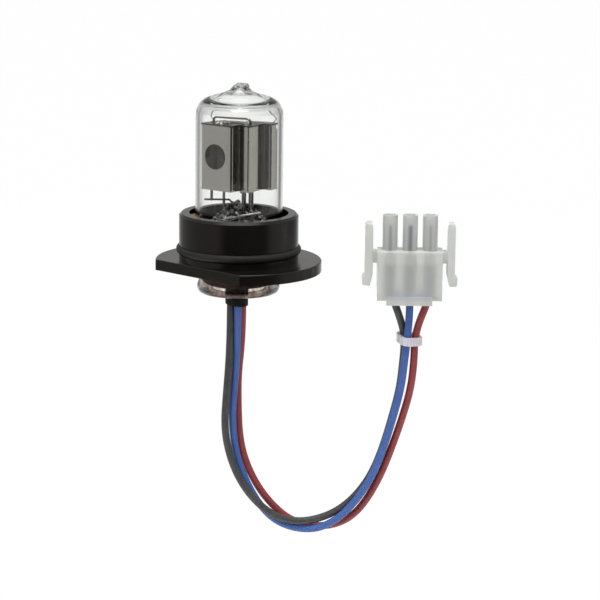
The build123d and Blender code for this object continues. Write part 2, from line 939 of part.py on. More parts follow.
def make_contact(x):
    """Roll one socket contact: round socket, shoulder against the step, and crimp on the wire."""
    socket_bore = contact_radius - contact_wall
    socket = tube(socket_bore, contact_radius, cavity_step - contact_shoulder, contact_top)
    shoulder_bottom_height = cavity_step - contact_shoulder
    shoulder = tube(socket_bore, contact_shoulder_radius, shoulder_bottom_height, cavity_step)
    crimp = disc(crimp_radius, crimp_bottom - crimp_grip, shoulder_bottom_height)
    crimp -= disc(wire_radius, crimp_bottom - crimp_grip - 1, crimp_bottom)
    crimp -= disc(socket_bore, crimp_bottom + 1, shoulder_bottom_height + 1)
    slit = block(-0.25, 0.25, -contact_radius - 1, 0, cavity_step + 2, contact_top + 1)
    return Pos(x, 0, 0) * (socket + shoulder + crimp - slit)


def make_parts():
    """Build every piece of the lamp under the name of its node."""
    skin = glass_skin()
    left, middle, right = circuit_places()
    bottom_holes = ("anode", "lower_cathode", "upper_cathode")
    return {
        "base_ring": make_base(),
        "o_ring": make_o_ring(),
        "bulb": make_envelope(),
        "base_cement": make_cement(skin),
        "stem_potting": make_potting(skin),
        "shrink_sleeve": make_sleeve(),
        "window_shield": make_window_shield(),
        "side_cover": make_side_cover(),
        "rear_cover": make_rear_cover(),
        "top_plate": make_plate(housing_roof(), (), ()),
        "bottom_plate": make_plate(housing_bottom, bottom_holes, ("front_post", "rear_post")),
        "divider_wall": make_divider(),
        "aperture_disc": make_aperture_disc(),
        "anode_plate": make_anode(),
        "cathode_baffle": make_baffle(),
        "cathode_coil": make_coil(),
        "lead_bushings": make_bushings(),
        "anode_lead": make_anode_lead(),
        "lower_cathode_lead": make_lower_lead(),
        "upper_cathode_lead": make_upper_lead(),
        "front_post": make_post("front_post"),
        "rear_post": make_post("rear_post"),
        "spare_pin": make_spare_pin(),
        "short_pin": make_short_pin(),
        "brace_wire": make_brace(),
        "twisted_strand": make_strand(),
        "top_hoop": make_hoop(),
        "left_spring": make_left_spring(),
        "right_spring": make_right_spring(),
        "black_wire": make_wire("black_wire", black_route),
        "blue_wire": make_wire("blue_wire", blue_route),
        "red_wire": make_wire("red_wire", red_route),
        "cable_tie": make_cable_tie(),
        "plug_housing": make_plug_housing(),
        "left_contact": make_contact(left),
        "middle_contact": make_contact(middle),
        "right_contact": make_contact(right),
    }


parts = make_parts()
os.makedirs("parts", exist_ok=True)
for name, part in parts.items():
    export_step(part, f"parts/{name}.step")
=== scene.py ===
"""Looks of a deuterium lamp: a glass bulb on a black flanged base, with its lead and connector.

The lamp stands upright, +Z towards the tip of the bulb, with the origin in the flange's upper
face. Finishes and the studio are in metres, and the tables of points in millimetres.
"""

import logging
import math
import random
from dataclasses import dataclass, field
from enum import Enum

import bmesh
import bpy
from bmesh.types import BMesh
from bpy.types import ID, Material, Mesh, Node, NodeTree, Object
from bpy.types import NodeSocket as Socket
from mathutils import Matrix, Quaternion, Vector, noise

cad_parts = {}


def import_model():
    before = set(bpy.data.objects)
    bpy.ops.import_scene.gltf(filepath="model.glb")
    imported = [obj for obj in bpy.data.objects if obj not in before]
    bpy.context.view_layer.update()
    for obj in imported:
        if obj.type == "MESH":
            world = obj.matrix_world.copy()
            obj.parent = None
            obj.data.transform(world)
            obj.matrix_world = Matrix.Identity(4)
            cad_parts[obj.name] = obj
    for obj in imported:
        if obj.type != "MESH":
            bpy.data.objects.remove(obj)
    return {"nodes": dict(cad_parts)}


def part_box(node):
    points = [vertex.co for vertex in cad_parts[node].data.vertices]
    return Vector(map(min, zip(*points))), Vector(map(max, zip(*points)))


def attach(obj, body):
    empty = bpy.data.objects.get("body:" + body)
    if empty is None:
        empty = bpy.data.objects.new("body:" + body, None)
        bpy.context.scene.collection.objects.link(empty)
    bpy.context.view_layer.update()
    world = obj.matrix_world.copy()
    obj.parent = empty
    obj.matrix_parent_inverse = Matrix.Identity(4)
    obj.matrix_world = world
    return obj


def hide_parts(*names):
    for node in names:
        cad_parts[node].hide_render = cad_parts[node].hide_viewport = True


MM = 0.001
NOISE_SEED = 7
WHITE = (1.0, 1.0, 1.0)
Point = tuple[float, float, float]
Colour = tuple[float, float, float]
Range = tuple[float, float]

log = logging.getLogger("lamp")


def metres(point: Point) -> Vector:
    """Turn a point in millimetres into metres."""
    return Vector(point) * MM


# Node trees


class Tree:
    """Places nodes in one node tree and joins them."""

    def __init__(self, tree: NodeTree) -> None:
        """Keep the tree that the nodes go into."""
        self.tree = tree

    def feed(self, node: Node, inputs: dict) -> None:
        """Set or join a node's inputs.

        Args:
            node: the node.
            inputs: numbers, colours or output sockets, by input name or number.
        """
        for name, value in inputs.items():
            socket = node.inputs[name]
            if isinstance(value, Socket):
                self.tree.links.new(value, socket)
            elif socket.type == "RGBA":
                socket.default_value = (*value, 1.0)
            else:
                socket.default_value = value

    def add(self, kind: str, inputs: dict | None = None, **settings: object) -> Node:
        """Place one node.

        Args:
            kind: Blender's name of the node's type, without its ShaderNode prefix.
            inputs: as feed takes them.
            settings: the node's own settings.

        Returns:
            The new node.
        """
        prefix = "" if kind.startswith("NodeGroup") else "ShaderNode"
        node = self.tree.nodes.new(prefix + kind)
        for name, value in settings.items():
            setattr(node, name, value)
        self.feed(node, inputs or {})
        return node

    def place(self) -> Socket:
        """Return the shaded point's place in the lamp's frame."""
        return self.add("TexCoord").outputs["Object"]

    def axes(self, place: Socket) -> tuple[Socket, ...]:
        """Split a place or direction into x, y and z."""
        return tuple(self.add("SeparateXYZ", {0: place}).outputs)

    def math(self, operation: str, first: object, second: object = 0.0) -> Socket:
        """Place a math node and return its result."""
        return self.add("Math", {0: first, 1: second}, operation=operation).outputs[0]

    def product(self, *factors: object) -> Socket:
        """Multiply two or more values and return the result."""
        result = factors[0]
        for factor in factors[1:]:
            result = self.math("MULTIPLY", result, factor)
        return result

    def spread(self, value: object, ends: Range, result: Range = (0.0, 1.0),
               how: str = "LINEAR") -> Socket:
        """Map one range of values onto another, and stop at its ends.

        Args:
            value: the value to map.
            ends: the range it comes from.
            result: the range it goes to.
            how: Blender's name for the way between the ends.

        Returns:
            The mapped value.
        """
        inputs = {"Value": value, "From Min": ends[0], "From Max": ends[1],
                  "To Min": result[0], "To Max": result[1]}
        return self.add("MapRange", inputs, interpolation_type=how).outputs[0]

    def between(self, mask: object, result: Range) -> Socket:
        """Spread a mask from 0 to 1 over a range of values."""
        return self.spread(mask, (0.0, 1.0), result)

    def ramp(self, factor: Socket, stops: list[tuple[float, Colour]]) -> Socket:
        """Place a colour ramp.

        Args:
            factor: the value that picks the colour.
            stops: positions with their colours, from low to high.

        Returns:
            The ramp's colour output.
        """
        node = self.add("ValToRGB", {0: factor})
        elements = node.color_ramp.elements
        while len(elements) < len(stops):
            elements.new(0.5)
        for element, (position, colour) in zip(elements, stops):
            element.position = position
            element.color = (*colour, 1.0)
        return node.outputs[0]

    def mix(self, factor: object, first: object, second: object) -> Socket:
        """Mix two colours and return the result."""
        return self.add("Mix", {0: factor, 6: first, 7: second}, data_type="RGBA").outputs[2]

    def bump(self, height: Socket, strength: float, distance: float) -> Socket:
        """Place a bump node and return its normal."""
        inputs = {"Height": height, "Strength": strength, "Distance": distance}
        return self.add("Bump", inputs).outputs[0]


class Effect(Enum):
    """Surface effects that several finishes share."""

    GRAIN = "fine grain"
    TURNED = "turned lines"
    SMUDGE = "smudges"


def new_group(kind: Effect, inputs: dict[str, float]) -> tuple[Tree, object]:
    """Start a shader node group that puts out one mask, which can serve as a height too.

    Args:
        kind: the effect that the group makes.
        inputs: input names with their default values.

    Returns:
        The tree that places the group's nodes, and the values given to the group.
    """
    group = bpy.data.node_groups.new(kind.value, "ShaderNodeTree")
    kind_name = "NodeSocketFloat"
    for label, value in inputs.items():
        socket = group.interface.new_socket(name=label, in_out="INPUT", socket_type=kind_name)
        socket.default_value = value
    group.interface.new_socket(name="Mask", in_out="OUTPUT", socket_type=kind_name)
    tree = Tree(group)
    return tree, tree.add("NodeGroupInput").outputs


def build_grain() -> NodeTree:
    """Build fine irregular grain around one half."""
    tree, given = new_group(Effect.GRAIN, {"Scale": 800.0, "Detail": 3.0})
    inputs = {"Vector": tree.place(), "Scale": given["Scale"], "Detail": given["Detail"],
              "Roughness": 0.6}
    grain = tree.add("TexNoise", inputs).outputs[0]
    tree.add("NodeGroupOutput", {"Mask": grain})
    return tree.tree


def build_turned() -> NodeTree:
    """Build the fine rings that a lathe leaves round the lamp's axis."""
    tree, given = new_group(Effect.TURNED, {"Pitch": 0.0003})
    x, y, z = tree.axes(tree.place())
    squares = tree.math("ADD", tree.math("POWER", x, 2.0), tree.math("POWER", y, 2.0))
    radius = tree.math("SQRT", squares)
    along = tree.math("DIVIDE", radius, given["Pitch"])
    up = tree.math("DIVIDE", z, given["Pitch"])
    where = tree.add("CombineXYZ", {0: along, 1: up}).outputs[0]
    rings = tree.add("TexNoise", {"Vector": where, "Scale": 1.0, "Detail": 2.0}).outputs[0]
    tree.add("NodeGroupOutput", {"Mask": rings})
    return tree.tree


def build_smudge() -> NodeTree:
    """Build soft uneven patches, such as fingers and handling leave."""
    tree, given = new_group(Effect.SMUDGE, {"Scale": 120.0, "Contrast": 1.0})
    inputs = {"Vector": tree.place(), "Scale": given["Scale"], "Detail": 4.0, "Distortion": 0.8}
    patches = tree.add("TexNoise", inputs).outputs[0]
    steep = tree.product(tree.math("SUBTRACT", patches, 0.5), given["Contrast"])
    mask = tree.add("Clamp", {0: tree.math("ADD", steep, 0.5)}).outputs[0]
    tree.add("NodeGroupOutput", {"Mask": mask})
    return tree.tree


EFFECT_BUILDERS = {Effect.GRAIN: build_grain, Effect.TURNED: build_turned,
                   Effect.SMUDGE: build_smudge}


def effect(tree: Tree, kind: Effect, **inputs: float) -> Socket:
    """Place a shared effect, and build its group the first time.

    Args:
        tree: the material's tree.
        kind: which effect.
        inputs: values for the group's inputs.

    Returns:
        The effect's mask.
    """
    group = bpy.data.node_groups.get(kind.value) or EFFECT_BUILDERS[kind]()
    node = tree.add("Group", node_tree=group)
    tree.feed(node, inputs)
    return node.outputs["Mask"]


def smudges(tree: Tree, scale: float, contrast: float) -> Socket:
    """Place soft patches and return their mask."""
    return effect(tree, Effect.SMUDGE, Scale=scale, Contrast=contrast)


def grained(tree: Tree, scale: float) -> Socket:
    """Place fine grain and return its mask."""
    return effect(tree, Effect.GRAIN, Scale=scale)


def new_material(name: str) -> tuple[Material, Tree, Node]:
    """Start a material with one Principled shader.

    Args:
        name: the material's name.

    Returns:
        The material, its tree and its Principled node.
    """
    material = bpy.data.materials.new(name)
    material.use_nodes = True
    shader = material.node_tree.nodes["Principled BSDF"]
    return material, Tree(material.node_tree), shader


# Finishes


@dataclass(frozen=True)
class Finish:
    """What a surface is made of, apart from its own kind."""

    name: str

    def surface(self, tree: Tree) -> dict:
        """Place the finish's nodes.

        Args:
            tree: the material's tree.

        Returns:
            What goes into the Principled shader's inputs, by name.
        """
        raise NotImplementedError

    def build(self) -> Material:
        """Build the material."""
        material, tree, shader = new_material(self.name)
        tree.feed(shader, self.surface(tree))
        return material


@dataclass(frozen=True)
class TurnedBlack(Finish):
    """Black anodised metal with turning lines and light handling marks."""

    name: str = "turned black"
    colour: Colour = (0.0030, 0.0025, 0.0024)
    worn: Colour = (0.0058, 0.0050, 0.0047)
    sheen: Colour = (1.0, 0.89, 0.85)
    ior: float = 1.44
    roughness: Range = (0.15, 0.27)
    mark_scale: float = 95.0
    mark_contrast: float = 1.6
    line_pitch: float = 0.00022
    line_strength: float = 0.10
    line_depth: float = 0.00002
    grain_scale: float = 2600.0
    grain_share: float = 0.35

    def surface(self, tree: Tree) -> dict:
        """Place the nodes."""
        marks = smudges(tree, self.mark_scale, self.mark_contrast)
        lines = effect(tree, Effect.TURNED, Pitch=self.line_pitch)
        grain = grained(tree, self.grain_scale)
        height = tree.math("ADD", lines, tree.product(grain, self.grain_share))
        return {
            "Base Color": tree.mix(marks, self.colour, self.worn),
            "Roughness": tree.between(marks, self.roughness),
            "Normal": tree.bump(height, self.line_strength, self.line_depth),
            "IOR": self.ior,
            "Specular Tint": self.sheen,
        }


@dataclass(frozen=True)
class Patched(Finish):
    """Two shades in soft patches, with fine grain over both."""

    colour: Colour
    second: Colour
    roughness: Range
    patch_scale: float = 220.0
    patch_contrast: float = 1.8
    grain_scale: float = 1800.0
    grain_strength: float = 0.15
    grain_depth: float = 0.00005

    def gloss(self, patches: Socket, grain: Socket) -> Socket:
        """Say which mask the roughness follows."""
        return grain

    def surface(self, tree: Tree) -> dict:
        """Place the nodes."""
        patches = smudges(tree, self.patch_scale, self.patch_contrast)
        grain = grained(tree, self.grain_scale)
        return {
            "Base Color": tree.mix(patches, self.colour, self.second),
            "Roughness": tree.between(self.gloss(patches, grain), self.roughness),
            "Normal": tree.bump(grain, self.grain_strength, self.grain_depth),
        }


@dataclass(frozen=True)
class Metal(Patched):
    """Bare metal, duller where it is tarnished."""

    patch_scale: float = 160.0
    patch_contrast: float = 1.5
    grain_scale: float = 2400.0
    grain_strength: float = 0.05
    grain_depth: float = 0.00003

    def gloss(self, patches: Socket, grain: Socket) -> Socket:
        """Say which mask the roughness follows."""
        return patches

    def surface(self, tree: Tree) -> dict:
        """Place the nodes."""
        return super().surface(tree) | {"Metallic": 1.0}


@dataclass(frozen=True)
class Plain(Patched):
    """Rubber, plastic, ceramic or resin."""

    ior: float = 1.5

    def surface(self, tree: Tree) -> dict:
        """Place the nodes."""
        return super().surface(tree) | {"IOR": self.ior}


@dataclass(frozen=True)
class Insulation(Plain):
    """Smooth insulation of a wire."""

    roughness: Range = (0.32, 0.48)
    patch_scale: float = 300.0


@dataclass(frozen=True)
class Glass(Finish):
    """Clear blown glass with faint waves, and brown painted shade near its sealed rim, flecked
    lighter.
    """

    colour: Colour = (0.985, 0.992, 0.985)
    shaded: Colour = (0.97515, 0.98208, 0.97515)
    # Painted shade of the base, brown for the cement seen through the glass, fading in towards the
    # rim.
    rim_shade: Colour = (0.34, 0.25, 0.21)
    flecked: Colour = (0.9, 0.83, 0.79)
    rim_shade_fade: Range = (-0.0040, -0.0080)
    fleck_scale: float = 650.0
    fleck_contrast: float = 5.0
    ior: float = 1.46
    wave_scale: float = 70.0
    wave_strength: float = 0.03
    wave_depth: float = 0.0004

    def surface(self, tree: Tree) -> dict:
        """Place the nodes."""
        waves = effect(tree, Effect.GRAIN, Scale=self.wave_scale, Detail=2.0)
        tint = tree.mix(waves, self.colour, self.shaded)
        # Painted shade near the rim, with lighter flecks in it.
        low = tree.spread(tree.axes(tree.place())[2], self.rim_shade_fade)
        flecks = smudges(tree, self.fleck_scale, self.fleck_contrast)
        return {
            "Base Color": tree.mix(low, tint, tree.mix(flecks, self.rim_shade, self.flecked)),
            "Normal": tree.bump(waves, self.wave_strength, self.wave_depth),
            "Roughness": 0.0,
            "IOR": self.ior,
            "Transmission Weight": 1.0,
        }


@dataclass(frozen=True)
class Frit(Finish):
    """Melted crumbs whose facets are coloured bright or dark by cell, as painted glints and painted
    dark reflections.
    """

    dark: Colour
    bright: Colour
    bright_share: float = 0.45
    fade: Range = (0.1, 0.12)
    facet_scale: float = 1500.0
    roughness: Range = (0.12, 0.35)
    metallic: float = 0.35
    grain_scale: float = 1300.0
    grain_strength: float = 0.8
    grain_depth: float = 0.0003

    def surface(self, tree: Tree) -> dict:
        """Place the nodes."""
        inputs = {"Vector": tree.place(), "Scale": self.facet_scale}
        # Each cell is painted a glint or a dark reflection.
        cells = tree.add("TexVoronoi", inputs).outputs["Color"]
        pick = tree.add("SeparateColor", {0: cells}).outputs[0]
        start = 1.0 - self.bright_share
        middle = tuple(0.25 * a + 0.75 * b for a, b in zip(self.bright, self.dark))
        before, after = self.fade
        stops = [(start - before, self.dark), (start, middle), (start + after, self.bright)]
        grain = grained(tree, self.grain_scale)
        return {
            "Base Color": tree.ramp(pick, stops),
            "Roughness": tree.between(pick, self.roughness),
            "Normal": tree.bump(grain, self.grain_strength, self.grain_depth),
            "Metallic": self.metallic,
        }


@dataclass(frozen=True)
class MilkyNylon(Finish):
    """Milky moulded nylon that lets some light and dim shapes through."""

    colour: Colour = (0.64, 0.65, 0.62)
    second: Colour = (0.69, 0.70, 0.675)
    roughness: Range = (0.38, 0.48)
    clear: float = 0.5
    haze: float = 0.8
    haze_roughness: float = 0.3
    milk: float = 0.6
    milk_reach: float = 0.0016
    milk_radius: Colour = (1.0, 1.0, 0.95)
    ior: float = 1.5
    patch_scale: float = 180.0
    patch_contrast: float = 1.5
    grain_scale: float = 1500.0
    grain_share: float = 0.12
    relief_strength: float = 0.8
    relief_depth: float = 0.00012
    rib_scale: float = 0.0
    rib_waver: float = 0.6
    rib_shade: Range = (0.35, 0.0)
    rib_dim: float = 0.6

    def colours(self, tree: Tree) -> Socket:
        """Colour the nylon with soft patches."""
        patches = smudges(tree, self.patch_scale, self.patch_contrast)
        return tree.mix(patches, self.colour, self.second)

    def surface(self, tree: Tree) -> dict:
        """Place the nodes."""
        grain = grained(tree, self.grain_scale)
        colour = self.colours(tree)
        height = tree.product(grain, self.grain_share)
        if self.rib_scale > 0:
            inputs = {"Vector": tree.place(), "Scale": self.rib_scale, "Distortion": self.rib_waver}
            ribs = tree.add("TexWave", inputs).outputs[1]
            height = tree.math("ADD", height, ribs)
            # Painted shade in the grooves between the ribs: the colour dims where the ribs are low.
            dim = tuple(self.rib_dim * share for share in self.colour)
            colour = tree.mix(tree.between(ribs, self.rib_shade), colour, dim)
        return {
            "Base Color": colour,
            "Roughness": tree.between(grain, self.roughness),
            "Normal": tree.bump(height, self.relief_strength, self.relief_depth),
            "IOR": self.ior,
            "Transmission Weight": self.clear,
            "Sheen Weight": self.haze,
            "Sheen Roughness": self.haze_roughness,
            "Subsurface Weight": self.milk,
            "Subsurface Radius": self.milk_radius,
            "Subsurface Scale": self.milk_reach,
        }


@dataclass(frozen=True)
class PlugNylon(MilkyNylon):
    """Nylon of the connector, with painted shade where its thick body and the metal inside would
    show through.
    """

    # Painted shade of the thick body, and of the circuits and contacts seen through the nylon.
    body: Colour = (0.585, 0.595, 0.57)
    body_half_width: float = 0.0102
    body_fade: float = 0.003
    body_heights: Range = (-0.0115, -0.0004)
    circuit_shade: Colour = (0.44, 0.45, 0.47)
    circuit_start: float = 0.04805
    circuit_pitch: float = 0.00635
    circuit_reach: Range = (0.0003, 0.0016)
    circuit_heights: Range = (-0.0105, -0.001)
    circuit_depth: float = 0.35
    contact: Colour = (0.27, 0.28, 0.33)
    contact_core: float = 0.0002
    contact_fade: float = 0.001
    contact_heights: Range = (0.0036, 0.0118)
    contact_depths: tuple[float, float, float] = (0.65, 0.85, 0.45)
    cool: Colour = (0.56, 0.57, 0.68)
    cool_reach: Range = (0.006, 0.0075)
    cool_heights: Range = (-0.0116, -0.0096)
    cool_depth: float = 0.6
    soft_end: float = 0.0008

    def near(self, tree: Tree, value: Socket, middle: float, reach: Range) -> Socket:
        """Mask what lies near a middle value.

        Args:
            tree: the material's tree.
            value: the value along one axis.
            middle: the value where the mask is 1.
            reach: how far the mask stays 1, and how far away it reaches 0.

        Returns:
            The mask.
        """
        away = tree.math("ABSOLUTE", tree.math("SUBTRACT", value, middle))
        return tree.spread(away, reach, (1.0, 0.0), "SMOOTHSTEP")

    def within(self, tree: Tree, value: Socket, ends: Range) -> Socket:
        """Mask what lies between two values, with soft ends."""
        low, high = ends
        half = (high - low) / 2
        reach = (half - self.soft_end, half + self.soft_end)
        return self.near(tree, value, (low + high) / 2, reach)

    def colours(self, tree: Tree) -> Socket:
        """Paint shade on the thick body and over its three circuits and contacts, and add the cool
        band above the skirt.
        """
        across, _, height = tree.axes(tree.place())
        middle = self.circuit_start + self.circuit_pitch
        level = self.within(tree, height, self.body_heights)
        reach = (self.body_half_width - self.body_fade, self.body_half_width)
        wide = self.near(tree, across, middle, reach)
        colour = tree.mix(tree.product(level, wide), super().colours(tree), self.body)
        inside = self.within(tree, height, self.circuit_heights)
        seen = self.within(tree, height, self.contact_heights)
        # Painted shade over each circuit, and a narrower, deeper painted shade where its contact
        # stands in the barrel.
        for number, depth in enumerate(self.contact_depths):
            place = self.circuit_start + number * self.circuit_pitch
            shade = self.near(tree, across, place, self.circuit_reach)
            colour = tree.mix(tree.product(shade, inside, self.circuit_depth), colour, self.circuit_shade)
            reach = (self.contact_core, self.contact_core + self.contact_fade * depth)
            shade = self.near(tree, across, place, reach)
            colour = tree.mix(tree.product(shade, seen, depth), colour, self.contact)
        band = self.within(tree, height, self.cool_heights)
        inner = self.near(tree, across, middle, self.cool_reach)
        return tree.mix(tree.product(band, inner, self.cool_depth), colour, self.cool)


BLACK_BASE = TurnedBlack()
SEAL = Plain("seal rubber", (0.009, 0.0087, 0.0084), (0.014, 0.0135, 0.013), (0.45, 0.62),
             grain_strength=0.2, ior=1.38)
BULB_GLASS = Glass("bulb glass")
TIP_GLASS = Glass("molten glass", wave_scale=900.0, wave_strength=0.5, wave_depth=0.0006)
NICKEL = Metal("nickel sheet", (0.79, 0.755, 0.70), (0.73, 0.695, 0.64), (0.10, 0.17))
# Nickel painted dark for the top plate: a painted dark reflection of what lies above it.
DARK_REFLECTION_NICKEL = Metal("nickel with painted dark reflection", (0.2, 0.19, 0.175), (0.1, 0.095, 0.09), (0.18, 0.4),
                    patch_scale=420.0, grain_strength=0.3, grain_depth=0.0001)
LEAD_METAL = Metal("lead rod", (0.62, 0.61, 0.58), (0.36, 0.35, 0.33), (0.10, 0.24),
                   patch_scale=500.0)
SPRING_METAL = Metal("spring wire", (0.46, 0.45, 0.43), (0.28, 0.27, 0.255), (0.2, 0.35),
                     patch_scale=500.0)
BRIGHT_WIRE = Metal("bright wire", (0.96, 0.95, 0.93), (0.8, 0.79, 0.77), (0.3, 0.45))
CRUMB_METAL = Frit("bright crumbs", (0.012, 0.011, 0.01), (0.95, 0.94, 0.91))
CRUMB_COPPER = Frit("copper crumbs", (0.07, 0.035, 0.025), (0.6, 0.4, 0.29))
MOLYBDENUM = Metal("molybdenum", (0.4, 0.4, 0.4), (0.3, 0.3, 0.3), (0.3, 0.45))
TIN = Metal("tin plate", (0.16, 0.17, 0.23), (0.1, 0.11, 0.16), (0.3, 0.45))
CERAMIC = Plain("fired ceramic", (0.74, 0.72, 0.68), (0.8, 0.79, 0.76), (0.6, 0.8),
                grain_scale=2200.0)
CEMENT = Plain("amber cement", (0.46, 0.29, 0.13), (0.11, 0.06, 0.025), (0.3, 0.6),
               patch_scale=900.0, grain_scale=900.0, grain_strength=0.8, grain_depth=0.0004)
POTTING = Plain("brown potting", (0.24, 0.14, 0.09), (0.17, 0.1, 0.07), (0.25, 0.45),
                patch_scale=260.0)
SLEEVE = Plain("shrunk sleeve", (0.0035, 0.0034, 0.0033), (0.006, 0.0058, 0.0056), (0.42, 0.58),
               grain_scale=700.0, grain_strength=0.35, grain_depth=0.0001, ior=1.32)
BLACK_SKIN = Insulation("black insulation", (0.034, 0.034, 0.035), (0.056, 0.056, 0.057))
BLUE_SKIN = Insulation("blue insulation", (0.037, 0.083, 0.27), (0.048, 0.104, 0.31))
RED_SKIN = Insulation("red insulation", (0.2, 0.03, 0.031), (0.235, 0.04, 0.042))
TIE_NYLON = MilkyNylon("tie nylon", (0.82, 0.80, 0.86), (0.87, 0.85, 0.90), clear=0.45,
                       rib_scale=330.0)
PLUG_NYLON = PlugNylon("plug nylon")


class Palette:
    """Builds each finish once and hands out its material."""

    def __init__(self) -> None:
        """Start with no material built."""
        self.built: dict[str, Material] = {}

    def material(self, finish: Finish) -> Material:
        """Return a finish's material, built the first time it is asked for."""
        if finish.name not in self.built:
            self.built[finish.name] = finish.build()
        return self.built[finish.name]

    def dress(self, piece: Object, finish: Finish) -> None:
        """Give a piece one finish all over."""
        piece.data.materials.clear()
        piece.data.materials.append(self.material(finish))


# Shapes


def place_object(name: str, data: ID | None) -> Object:
    """Put a new object with its data into the scene."""
    placed = bpy.data.objects.new(name, data)
    bpy.context.scene.collection.objects.link(placed)
    return placed


def finish_form(name: str, form: BMesh) -> Mesh:
    """Turn a form into a mesh, and free the form."""
    mesh = bpy.data.meshes.new(name)
    form.to_mesh(mesh)
    form.free()
    return mesh


def add_mesh(name: str, mesh: Mesh) -> Object:
    """Put a mesh into the scene as one smooth piece that rides on the lamp.

    Args:
        name: the piece's name.
        mesh: its mesh, in metres in the lamp's frame.

    Returns:
        The new piece.
    """
    for polygon in mesh.polygons:
        polygon.use_smooth = True
    piece = place_object(name, mesh)
    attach(piece, "root")
    return piece


def add_lumps(name: str, form: BMesh) -> Object:
    """Shrink a form in millimetres to metres, and add it as one piece."""
    bmesh.ops.scale(form, vec=(MM, MM, MM), verts=form.verts)
    return add_mesh(name, finish_form(name, form))


def smooth_outline(points: tuple[Range, ...], steps: int) -> list[Range]:
    """Draw a smooth line through outline points, with slopes weighed by the stretches' lengths.

    Args:
        points: radius and height of each point, in millimetres.
        steps: new points for each stretch.

    Returns:
        Points along the smooth line, the first and last as given.
    """
    places = [Vector(point) for point in points]
    stretches = list(zip(places, places[1:]))
    lengths = [(after - place).length for place, after in stretches]
    runs = [(after - place) / length for (place, after), length in zip(stretches, lengths)]
    slopes = [runs[0]]
    for before, after, low, high in zip(runs, runs[1:], lengths, lengths[1:]):
        slopes.append((before * high + after * low) / (low + high))
    slopes.append(runs[-1])
    line = []
    for number, length in enumerate(lengths):
        low, high = stretches[number]
        for step in range(steps):
            t = step / steps
            place = low.lerp(high, 3 * t ** 2 - 2 * t ** 3)
            place += slopes[number] * length * (t ** 3 - 2 * t ** 2 + t)
            place += slopes[number + 1] * length * (t ** 3 - t ** 2)
            line.append(tuple(place))
    line.append(points[-1])
    return line


def revolve(outline: list[Range], around: int) -> Mesh:
    """Turn an outline round the lamp's axis into a closed skin.

    Args:
        outline: radius and height from axis to axis, or a closed loop off the axis, in millimetres.
        around: how many steps the turn has.

    Returns:
        The new mesh, in metres.
    """
    on_axis = 1e-6
    angles = [2 * math.pi * step / around for step in range(around)]
    form = bmesh.new()
    rings = []
    for radius, height in outline:
        if radius < on_axis:
            rings.append([form.verts.new((0, 0, height * MM))] * around)
            continue
        wide, up = radius * MM, height * MM
        rings.append([form.verts.new((wide * math.cos(a), wide * math.sin(a), up)) for a in angles])
    pairs = list(zip(rings, rings[1:]))
    if outline[0][0] > on_axis:
        pairs.append((rings[-1], rings[0]))
    for low, high in pairs:
        for step in range(around):
            after = (step + 1) % around
            corners = []
            for vertex in (low[step], low[after], high[after], high[step]):
                if vertex not in corners:
                    corners.append(vertex)
            form.faces.new(corners)
    bmesh.ops.recalc_face_normals(form, faces=form.faces)
    return finish_form("skin", form)


def wire_curve(name: str, route: tuple[Point, ...], diameter: float, detail: int = 6) -> Object:
    """Draw a round wire along one smooth line whose control points are the route's points.

    The thickness is set at the points, with a bevel of one metre, so that the curve's box is true.

    Args:
        name: the piece's name.
        route: the route's points, in millimetres.
        diameter: the wire's thickness, in metres.
        detail: steps between two points of the route.

    Returns:
        The new curve piece.
    """
    curve = bpy.data.curves.new(name, "CURVE")
    curve.dimensions = "3D"
    spline = curve.splines.new("NURBS")
    spline.points.add(len(route) - 1)
    for place, point in zip(spline.points, route):
        place.co = (*metres(point), 1.0)
        place.radius = diameter / 2
    spline.order_u = 3
    spline.use_endpoint_u = True
    curve.resolution_u = detail
    curve.bevel_depth = 1.0
    curve.bevel_resolution = 6
    curve.use_fill_caps = True
    piece = place_object(name, curve)
    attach(piece, "root")
    return piece


# Sub-assemblies


@dataclass
class Assembly:
    """Solids that belong together, named by their finishes."""

    finishes: dict[Finish, str] = field(default_factory=dict)

    def build(self, nodes: dict, palette: Palette) -> None:
        """Dress the solids, and make what the scene draws in place of them.

        Args:
            nodes: the lamp's solids by name.
            palette: hands out the finishes.
        """
        for finish, names in self.finishes.items():
            for name in names.split():
                palette.dress(nodes[name], finish)


@dataclass
class Base(Assembly):
    """Flanged base ring, its O-ring, the cement that holds the bulb and the potting under it."""

    finishes: dict[Finish, str] = field(default_factory=lambda: {
        BLACK_BASE: "base_ring", SEAL: "o_ring", CEMENT: "base_cement", POTTING: "stem_potting",
    })


@dataclass
class Connector(Assembly):
    """Moulded connector housing with its three contacts."""

    finishes: dict[Finish, str] = field(default_factory=lambda: {
        PLUG_NYLON: "plug_housing", TIN: "left_contact middle_contact right_contact",
    })


